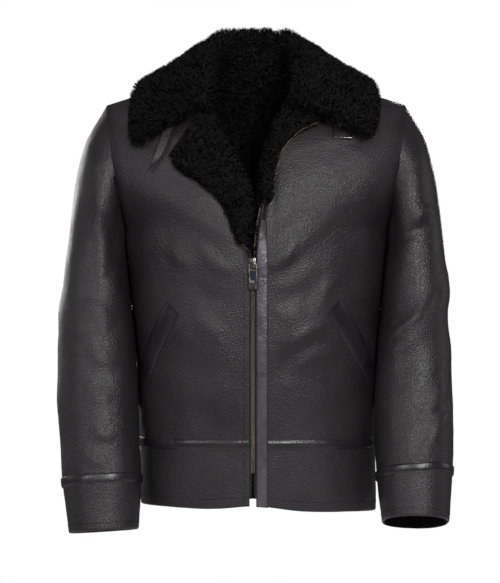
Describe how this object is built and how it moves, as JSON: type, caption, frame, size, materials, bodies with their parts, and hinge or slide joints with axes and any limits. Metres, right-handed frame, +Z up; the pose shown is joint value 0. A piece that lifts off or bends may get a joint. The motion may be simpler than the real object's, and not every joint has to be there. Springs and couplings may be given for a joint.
{
  "type": "sheepskin flying jacket",
  "caption": "Short sheepskin flying jacket with a deep turned-down fur collar, open front zip, smooth seam tapes, slanted pocket welts and a throat strap.",
  "frame": {"origin": "midway between the two neck points of the shoulder seams, where the jacket rests on the wearer's shoulders", "axes": "+Z up; the front faces -Y; +X is the wearer's left, the viewer's right in a front view"},
  "size_m": [0.6139, 0.3009, 0.8087],
  "materials": {
    "nappa": "satin, fine grain, clipped fleece inside",
    "smooth_leather": "smooth, semi-gloss",
    "fur": "deep curly sheep's fur, matt",
    "zip_tape": "woven tape with metal teeth along it",
    "gunmetal": "dark aged metal",
    "insert": "dark blue, semi-gloss"
  },
  "bodies": {
    "jacket": {"hem_band_right": "nappa", "front_right": "nappa", "hem_band_left": "nappa", "front_left": "nappa", "hem_band_back": "nappa", "back": "nappa", "sleeve_right": "nappa", "sleeve_left": "nappa", "cuff_right": "nappa", "cuff_left": "nappa", "waist_tape_right": "smooth_leather", "waist_tape_left": "smooth_leather", "waist_tape_back": "smooth_leather", "cuff_tape_right": "smooth_leather", "cuff_tape_left": "smooth_leather", "zip_facing": "smooth_leather", "pocket_welt_right": "smooth_leather", "pocket_welt_left": "smooth_leather", "throat_strap": "smooth_leather", "buckle_chape": "smooth_leather", "collar": "fur", "zip_tape_right": "zip_tape", "zip_tape_left": "zip_tape", "zip_slider": "gunmetal"},
    "pull": {"zip_pull": "gunmetal", "zip_pull_insert": "insert"},
    "buckle": {"buckle_frame": "gunmetal"}
  },
  "joints": [
    {"name": "pull_swing", "type": "hinge", "parent": "jacket", "child": "pull", "pos_m": [-0.005, -0.1435, -0.2949], "axis": [1, 0, 0], "range_deg": [-120, 3]},
    {"name": "buckle_swing", "type": "hinge", "parent": "jacket", "child": "buckle", "pos_m": [0.1325, -0.094, -0.08], "axis": [1, 0, 0], "range_deg": [-30, 0]}
  ]
}
